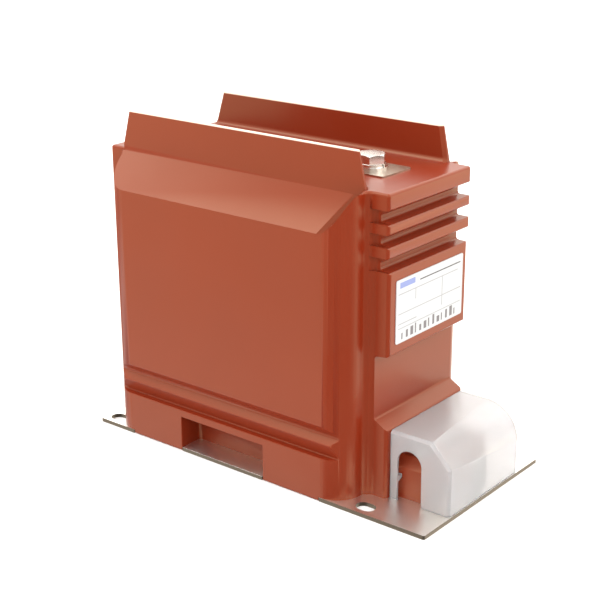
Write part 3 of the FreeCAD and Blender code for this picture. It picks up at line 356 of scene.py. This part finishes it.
def bumped(tree, surface, shader, distance, strength):
    """Turns a height into a bent normal on the shader."""
    bump = add_node(tree, "ShaderNodeBump", Distance=distance, Strength=strength)
    tree.links.new(surface, bump.inputs["Height"])
    tree.links.new(bump.outputs["Normal"], shader.inputs["Normal"])


def repainted(tree, shader, mask, colour, roughness):
    """Puts another colour and roughness over what feeds a shader, where a mask is 1."""
    for name, kind, value in (("Base Color", "RGBA", (*colour, 1)), ("Roughness", "FLOAT", roughness)):
        socket = shader.inputs[name]
        before = socket.links[0].from_socket
        tree.links.new(blended(tree, kind, mask, before, value), socket)


finishes = {}

# %% [markdown]
# ## Resin
# Cast epoxy is a saturated brown-red with an even half-gloss. Its body colour is close to pure red, and
# the mirrored room adds the orange: a slightly warm specular tint does that for every view. The roughness
# wanders a little, as it does where a mould was polished unevenly. Its range stays above 0.28, because a
# range that crosses about 0.27 shows as thin contour lines once the picture is denoised. The tops of the
# fins get a painted highlight: a mask on the height paints them a pale cream, which stands in for the
# overhead light that their top edges catch.

# %% Resin
RESIN_DARK = (0.206, 0.0178, 0.0042)
RESIN_LIGHT = (0.229, 0.0208, 0.0052)
RESIN_ROUGHNESS = (0.285, 0.34)
CAST_BUMP = (0.0001, 0.2)
# Painted highlight: the pale cream that the height mask puts on the fin tops, in place of the light they
# catch.
PAINTED_FIN_HIGHLIGHT = (0.86, 0.68, 0.56)
FIN_HIGHLIGHT_ROUGHNESS = 0.5
FIN_HIGHLIGHT_START = 0.9 * MM
FIN_HIGHLIGHT_FULL = 0.4 * MM

resin, tree, shader = new_finish("resin")
texture = use_group(tree, cast_texture, Peel_Scale=160.0, Wave_Scale=12.0)
marks = use_group(tree, handling_marks, Patch_Scale=18.0, Scratch_Scale=40.0)
colour = two_tones(tree, texture.outputs["Tone"], RESIN_DARK, RESIN_LIGHT)
tree.links.new(colour, shader.inputs["Base Color"])
roughness = stretched(tree, marks.outputs["Patches"], (0.0, 1.0, *RESIN_ROUGHNESS))
tree.links.new(roughness, shader.inputs["Roughness"])
bumped(tree, texture.outputs["Height"], shader, *CAST_BUMP)
parts = add_node(tree, "ShaderNodeSeparateXYZ")
tree.links.new(add_node(tree, "ShaderNodeTexCoord").outputs["Object"], parts.inputs["Vector"])
fin_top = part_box("resin_body")[1].z
# Painted highlight on the fin tops, by height.
fin_highlight_mask = stretched(tree, parts.outputs["Z"], (fin_top - FIN_HIGHLIGHT_START, fin_top - FIN_HIGHLIGHT_FULL, 0.0, 1.0))
repainted(tree, shader, fin_highlight_mask, PAINTED_FIN_HIGHLIGHT, FIN_HIGHLIGHT_ROUGHNESS)
shader.inputs["IOR"].default_value = 1.56
shader.inputs["Specular Tint"].default_value = (1.0, 0.88, 0.55, 1)
finishes["resin"] = resin
print("fin top in mm", round(fin_top / MM, 1))

# %% [markdown]
# ## Metals
# Plate, pads, windings, cores, fasteners and inserts differ in colour and shine, but all are clean metal
# with duller patches and hairline scratches. One function with a row of values for each keeps them alike.
# The plate was sheared from a rolled sheet, so its cut edges are rougher than its faces. They are also
# darker: partly their own dull tone and partly painted shade, which stands in for the shadow on the edge
# under the body. A mask on the direction of the surface finds them.


# %% Metals
def metal_finish(name, dark, light, roughness, patch_scale, scratch_scale):
    """A bare or plated metal: two close tones, patches of duller shine and fine scratches."""
    material, tree, shader = new_finish(name)
    marks = use_group(tree, handling_marks, Patch_Scale=patch_scale, Scratch_Scale=scratch_scale)
    tree.links.new(two_tones(tree, marks.outputs["Patches"], light, dark), shader.inputs["Base Color"])
    dulled = stretched(tree, marks.outputs["Patches"], (0.0, 1.0, *roughness))
    tree.links.new(dulled, shader.inputs["Roughness"])
    bumped(tree, marks.outputs["Scratches"], shader, *SCRATCH_BUMP)
    shader.inputs["Metallic"].default_value = 1.0
    return material


SCRATCH_BUMP = (0.00003, 0.4)
METALS = {
    "plate_metal": ((0.88, 0.86, 0.80), (0.98, 0.97, 0.93), (0.34, 0.48), 9.0, 30.0),
    "tinned_metal": ((0.43, 0.355, 0.285), (0.55, 0.455, 0.365), (0.285, 0.38), 60.0, 90.0),
    "copper": ((0.55, 0.22, 0.12), (0.80, 0.38, 0.24), (0.285, 0.38), 60.0, 90.0),
    "core_steel": ((0.20, 0.20, 0.22), (0.32, 0.32, 0.34), (0.30, 0.45), 60.0, 90.0),
    "plated_steel": ((0.74, 0.71, 0.67), (0.87, 0.84, 0.81), (0.16, 0.26), 90.0, 120.0),
    "brass": ((0.56, 0.40, 0.16), (0.74, 0.56, 0.26), (0.18, 0.26), 80.0, 120.0),
}
for name, values in METALS.items():
    finishes[name] = metal_finish(name, *values)
print("metals", list(METALS))

# %% Cut edges of the plate
# The dark edge colour is partly the sheared edge's own dull tone and partly painted shade.
CUT_EDGE_AND_SHADE = (0.22, 0.18, 0.14)
CUT_EDGE_ROUGHNESS = 0.5
CUT_EDGE_BAND = (0.5, 0.8, 1.0, 0.0)

tree = finishes["plate_metal"].node_tree
parts = add_node(tree, "ShaderNodeSeparateXYZ")
tree.links.new(add_node(tree, "ShaderNodeTexCoord").outputs["Normal"], parts.inputs["Vector"])
facing_up = math_node(tree, "ABSOLUTE", parts.outputs["Z"])
on_edge = stretched(tree, facing_up, CUT_EDGE_BAND)
repainted(tree, tree.nodes["Principled BSDF"], on_edge, CUT_EDGE_AND_SHADE, CUT_EDGE_ROUGHNESS)
print("plate nodes", len(tree.nodes))

# %% [markdown]
# ## Cover plastic
# The hood is milky plastic: light goes in, wanders and comes out soft, and the terminal block
# behind it only tints it. Plain transparency would look like glass, and plain white like paint.
# Scattering inside the wall together with a large share of transmission gives the milk, and a fairly
# smooth skin gives the sheen on its edges.

# %% Cover plastic
COVER_DARK = (0.86, 0.852, 0.868)
COVER_LIGHT = (0.90, 0.893, 0.905)
COVER_ROUGHNESS = (0.17, 0.25)

cover_plastic, tree, shader = new_finish("cover_plastic")
texture = use_group(tree, cast_texture, Peel_Scale=160.0, Wave_Scale=30.0)
colour = two_tones(tree, texture.outputs["Tone"], COVER_DARK, COVER_LIGHT)
tree.links.new(colour, shader.inputs["Base Color"])
roughness = stretched(tree, texture.outputs["Tone"], (0.0, 1.0, *COVER_ROUGHNESS))
tree.links.new(roughness, shader.inputs["Roughness"])
bumped(tree, texture.outputs["Height"], shader, *CAST_BUMP)
shader.inputs["Transmission Weight"].default_value = 0.72
shader.inputs["Subsurface Weight"].default_value = 1.0
shader.inputs["Subsurface Radius"].default_value = (1.0, 1.0, 1.0)
shader.inputs["Subsurface Scale"].default_value = 0.006
shader.inputs["IOR"].default_value = 1.46
finishes["cover_plastic"] = cover_plastic
print("cover transmission", round(shader.inputs["Transmission Weight"].default_value, 2))

# %% [markdown]
# ## The printed plate
# The rating plate carries only ruled lines and plain fields: a blue field and a bold rule in its header,
# thin grey rules that part its cells, and a row of short dark dashes at the foot. A picture would need a
# file, so each field is one rectangle worked out from the surface's coordinates, and the same small group
# draws every one.

# %% Ruled field
ruled_field, inlet, outlet = new_group(
    "ruled_field", [("Y", 0.0), ("Z", 0.0), ("Half Width", 0.0), ("Half Height", 0.0)], ["Mask"])
parts = add_node(ruled_field, "ShaderNodeSeparateXYZ")
ruled_field.links.new(add_node(ruled_field, "ShaderNodeTexCoord").outputs["Object"], parts.inputs["Vector"])
inside = []
for axis, half in (("Y", "Half Width"), ("Z", "Half Height")):
    offset = math_node(ruled_field, "SUBTRACT", parts.outputs[axis], inlet.outputs[axis])
    distance = math_node(ruled_field, "ABSOLUTE", offset)
    inside.append(math_node(ruled_field, "LESS_THAN", distance, inlet.outputs[half]))
ruled_field.links.new(product(ruled_field, inside), outlet.inputs["Mask"])
print("group", ruled_field.name, "nodes", len(ruled_field.nodes))

# %% [markdown]
# A field is its left, right, low and high edges, as parts of the plate's width and height. The dashes
# differ a little in width and height, by a plain rule and not by chance, so that they look printed and
# still say nothing.

# %% Print layout
PLATE_LOW = Vector((-39.7, 115.2)) * MM
PLATE_HIGH = Vector((41.3, 160.2)) * MM
BLUE_FIELDS = [(0.05, 0.27, 0.86, 0.95)]
BOLD_RULES = [(0.34, 0.96, 0.865, 0.885)]
THIN_RULES = [
    (0.03, 0.92, 0.762, 0.778), (0.03, 0.97, 0.452, 0.468), (0.03, 0.30, 0.292, 0.308),
    (0.674, 0.686, 0.30, 0.77), (0.274, 0.286, 0.60, 0.77), (0.03, 0.97, 0.222, 0.236),
]
DASH_COUNT = 13
DASH_START = 0.08
DASH_STEP = 0.066
DASH_WIDTH = 0.018
DASH_LOW = 0.05
DASH_HIGH = 0.15
FOOT_DASHES = []
for number in range(DASH_COUNT):
    dash_left = DASH_START + DASH_STEP * number
    dash_right = dash_left + DASH_WIDTH + 0.012 * (number % 3)
    FOOT_DASHES.append((dash_left, dash_right, DASH_LOW, DASH_HIGH + 0.02 * (number * 5 % 4)))


def printed(tree, fields):
    """One mask over all the fields of one ink."""
    masks = []
    size = PLATE_HIGH - PLATE_LOW
    for low_y, high_y, low_z, high_z in fields:
        field = use_group(tree, ruled_field,
                          Y=PLATE_LOW.x + size.x * (low_y + high_y) / 2,
                          Z=PLATE_LOW.y + size.y * (low_z + high_z) / 2,
                          Half_Width=size.x * (high_y - low_y) / 2,
                          Half_Height=size.y * (high_z - low_z) / 2)
        masks.append(field.outputs["Mask"])
    total = masks[0]
    for mask in masks[1:]:
        total = math_node(tree, "MAXIMUM", total, mask)
    return total


# %% Rating plate
PLATE_GREY = (0.53, 0.54, 0.55)
PLATE_WHITE = (0.59, 0.60, 0.61)
PLATE_ROUGHNESS = (0.28, 0.42)
INKS = [
    (BLUE_FIELDS, (0.10, 0.16, 0.50, 1), 0.75),
    (THIN_RULES, (0.20, 0.18, 0.20, 1), 0.6),
    (BOLD_RULES, (0.04, 0.03, 0.04, 1), 0.95),
    (FOOT_DASHES, (0.08, 0.06, 0.07, 1), 0.85),
]

label, tree, shader = new_finish("label")
texture = use_group(tree, cast_texture, Peel_Scale=400.0, Wave_Scale=40.0)
coloured = two_tones(tree, texture.outputs["Tone"], PLATE_GREY, PLATE_WHITE)
for fields, ink, strength in INKS:
    mask = stretched(tree, printed(tree, fields), (0.0, 1.0, 0.0, strength))
    coloured = blended(tree, "RGBA", mask, coloured, ink)
tree.links.new(coloured, shader.inputs["Base Color"])
roughness = stretched(tree, texture.outputs["Tone"], (0.0, 1.0, *PLATE_ROUGHNESS))
tree.links.new(roughness, shader.inputs["Roughness"])
finishes["label"] = label
print("fields on the plate", sum(len(fields) for fields, ink, strength in INKS))

# %% [markdown]
# ## The floor's finish
# The floor is matt and almost white, with a very slow change of tone so that it isn't one flat colour.

# %% Floor finish
FLOOR_GREY = (0.93, 0.93, 0.93)
FLOOR_WHITE = (0.96, 0.96, 0.96)

floor_finish, tree, shader = new_finish("floor_finish")
texture = use_group(tree, cast_texture, Peel_Scale=60.0, Wave_Scale=1.5)
colour = two_tones(tree, texture.outputs["Tone"], FLOOR_GREY, FLOOR_WHITE)
tree.links.new(colour, shader.inputs["Base Color"])
shader.inputs["Roughness"].default_value = 0.6
floor.data.materials.append(floor_finish)
print("floor finish", floor_finish.name)

# %% [markdown]
# ## The side grooves
# Two shallow grooves with a round wave between them run along the foot of each long side. In the
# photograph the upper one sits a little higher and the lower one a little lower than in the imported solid.
# The wave could be carved anew, but its section is right and only its spacing isn't. So in the copy of
# the casting the groove's points move up or down, each along its own upright line, and faces that were
# flat stay flat.
#
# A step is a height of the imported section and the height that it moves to, both in mm.

# %% Groove spacing
GROOVE_DEPTH = 5.3 * MM
GROOVE_LOW = 34.85
GROOVE_HIGH = 56.25
GROOVE_STEPS = [
    (34.9, 33.0), (36.5, 34.0), (39.0, 34.9), (40.2, 36.0), (45.2, 43.9), (51.06, 48.2),
    (52.0, 48.9), (53.5, 49.7), (54.6, 51.0), (55.25, 52.6), (56.2, 59.4),
]


def groove_height(z):
    """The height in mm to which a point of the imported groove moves."""
    for (low, low_new), (high, high_new) in zip(GROOVE_STEPS, GROOVE_STEPS[1:]):
        if z <= high:
            return low_new + (high_new - low_new) * (z - low) / (high - low)
    return GROOVE_STEPS[-1][1]


def reshape_grooves(piece):
    """Spreads the wave along both long sides of the casting."""
    half_width = max(vertex.co.y for vertex in piece.data.vertices)
    moved = 0
    for vertex in piece.data.vertices:
        z = vertex.co.z / MM
        if abs(vertex.co.y) > half_width - GROOVE_DEPTH and GROOVE_LOW < z < GROOVE_HIGH:
            vertex.co.z = groove_height(z) * MM
            moved += 1
    print("groove points moved", moved)


# %% [markdown]
# ## Softened edges
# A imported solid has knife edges, which catch no light. Real ones are broken by the mould or a file, and
# shine as thin lines. A live Bevel modifier would shrink every bevel to the size of the smallest face on
# the piece, so the bevel is made in edit mode instead, on chosen edges only: sharp ones that are long,
# and that have room at their ends. A copy of each visible solid is first merged into clean faces, and
# then stands in for its node.
#
# Smooth shading over the bevels would bend the light on the large flat faces beside them. So only small
# steps, as those between the facets of a round face, are shaded smooth, and weighted normals keep the
# flat faces flat.


# %% Edge helpers
def only(piece):
    """Makes one object the selected and active one."""
    bpy.ops.object.select_all(action="DESELECT")
    piece.hide_set(False)
    piece.select_set(True)
    bpy.context.view_layer.objects.active = piece


SHARP_ABOVE = math.radians(38.0)
LONG_IN_WIDTHS = 8
ROOM_IN_WIDTHS = 2.4


def select_long_edges(piece, width):
    """Selects the sharp edges that are long, and that a bevel of this width doesn't crowd at their ends."""
    shell = bmesh.from_edit_mesh(piece.data)
    chosen = {edge for edge in shell.edges
              if len(edge.link_faces) == 2 and edge.calc_face_angle(0) > SHARP_ABOVE
              and edge.calc_length() > LONG_IN_WIDTHS * width}
    while True:
        roomy = {edge for edge in chosen
                 if all(other in chosen or other.calc_length() > ROOM_IN_WIDTHS * width
                        for vertex in edge.verts for other in vertex.link_edges if other is not edge)}
        if len(roomy) == len(chosen):
            break
        chosen = roomy
    for edge in chosen:
        edge.select = True
    bmesh.update_edit_mesh(piece.data)
    return len(chosen)


# %% Dressed copies
MERGE_DISTANCE = 0.002 * MM
FLAT_WITHIN = math.radians(0.6)
SMOOTH_BELOW = math.radians(20.0)
BEVEL_SEGMENTS = 2
FLAT_FACE_WEIGHT = 100


def paint(piece, slot):
    """Gives a piece one finish."""
    piece.data.materials.clear()
    piece.data.materials.append(finishes[slot])


def free_copy(node):
    """A copy of a CAD node with its own mesh, without the frame's marks and parent."""
    piece = frame["nodes"][node].copy()
    piece.data = piece.data.copy()
    piece.name = node + "_dressed"
    for key in list(piece.keys()):
        del piece[key]
    piece.parent = None
    bpy.context.scene.collection.objects.link(piece)
    return piece


def soften(piece, width):
    """Bevels the chosen edges of a piece, and shades its round faces smooth and its flat faces flat."""
    bpy.ops.object.mode_set(mode="EDIT")
    bpy.ops.mesh.select_mode(type="EDGE")
    bpy.ops.mesh.select_all(action="DESELECT")
    count = select_long_edges(piece, width)
    if count:
        bpy.ops.mesh.bevel(offset=width, segments=BEVEL_SEGMENTS, clamp_overlap=False)
    bpy.ops.object.mode_set(mode="OBJECT")
    bpy.ops.object.shade_smooth_by_angle(angle=SMOOTH_BELOW)
    flattened = piece.modifiers.new("flat_faces", "WEIGHTED_NORMAL")
    flattened.keep_sharp = True
    flattened.weight = FLAT_FACE_WEIGHT
    bpy.ops.object.modifier_apply(modifier="flat_faces")
    return count


def dressed_copy(node, slot, width):
    """A copy of a CAD node with clean faces, narrow bevels and its finish, which stands for the node."""
    piece = free_copy(node)
    only(piece)
    bpy.ops.object.mode_set(mode="EDIT")
    bpy.ops.mesh.select_all(action="SELECT")
    bpy.ops.mesh.remove_doubles(threshold=MERGE_DISTANCE)
    bpy.ops.mesh.dissolve_limited(angle_limit=FLAT_WITHIN)
    bpy.ops.object.mode_set(mode="OBJECT")
    if node == "resin_body":
        reshape_grooves(piece)
    print(node, "edges softened", soften(piece, width))
    paint(piece, slot)
    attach(piece, "root")
    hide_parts(node)
    return piece


# %% Dress the visible solids
EDGE_WIDTHS = {
    "resin_body": 0.6 * MM,
    "base_plate": 0.35 * MM,
    "secondary_cover": 0.35 * MM,
    "rating_plate": 0.15 * MM,
    "primary_terminal_p1": 0.4 * MM,
    "primary_terminal_p2": 0.4 * MM,
    "terminal_bolt_p2": 0.35 * MM,
    "flat_washer_p2": 0.25 * MM,
    "spring_washer_p2": 0.25 * MM,
}
slot_of = {entry["node"]: entry["material_slot"] for entry in frame["record"]["subparts"]}
dressed = {node: dressed_copy(node, slot_of[node], width) for node, width in EDGE_WIDTHS.items()}
print("dressed", {node: len(piece.data.polygons) for node, piece in dressed.items()})

# %% [markdown]
# ## The other solids
# Conductor, cores, windings, leads, inserts and the small screws are inside the resin or under the hood.
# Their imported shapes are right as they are, so they only get their finish.

# %% Paint the other solids
for node, piece in frame["nodes"].items():
    if node not in dressed:
        paint(piece, slot_of[node])
print("painted", len(frame["nodes"]) - len(dressed))
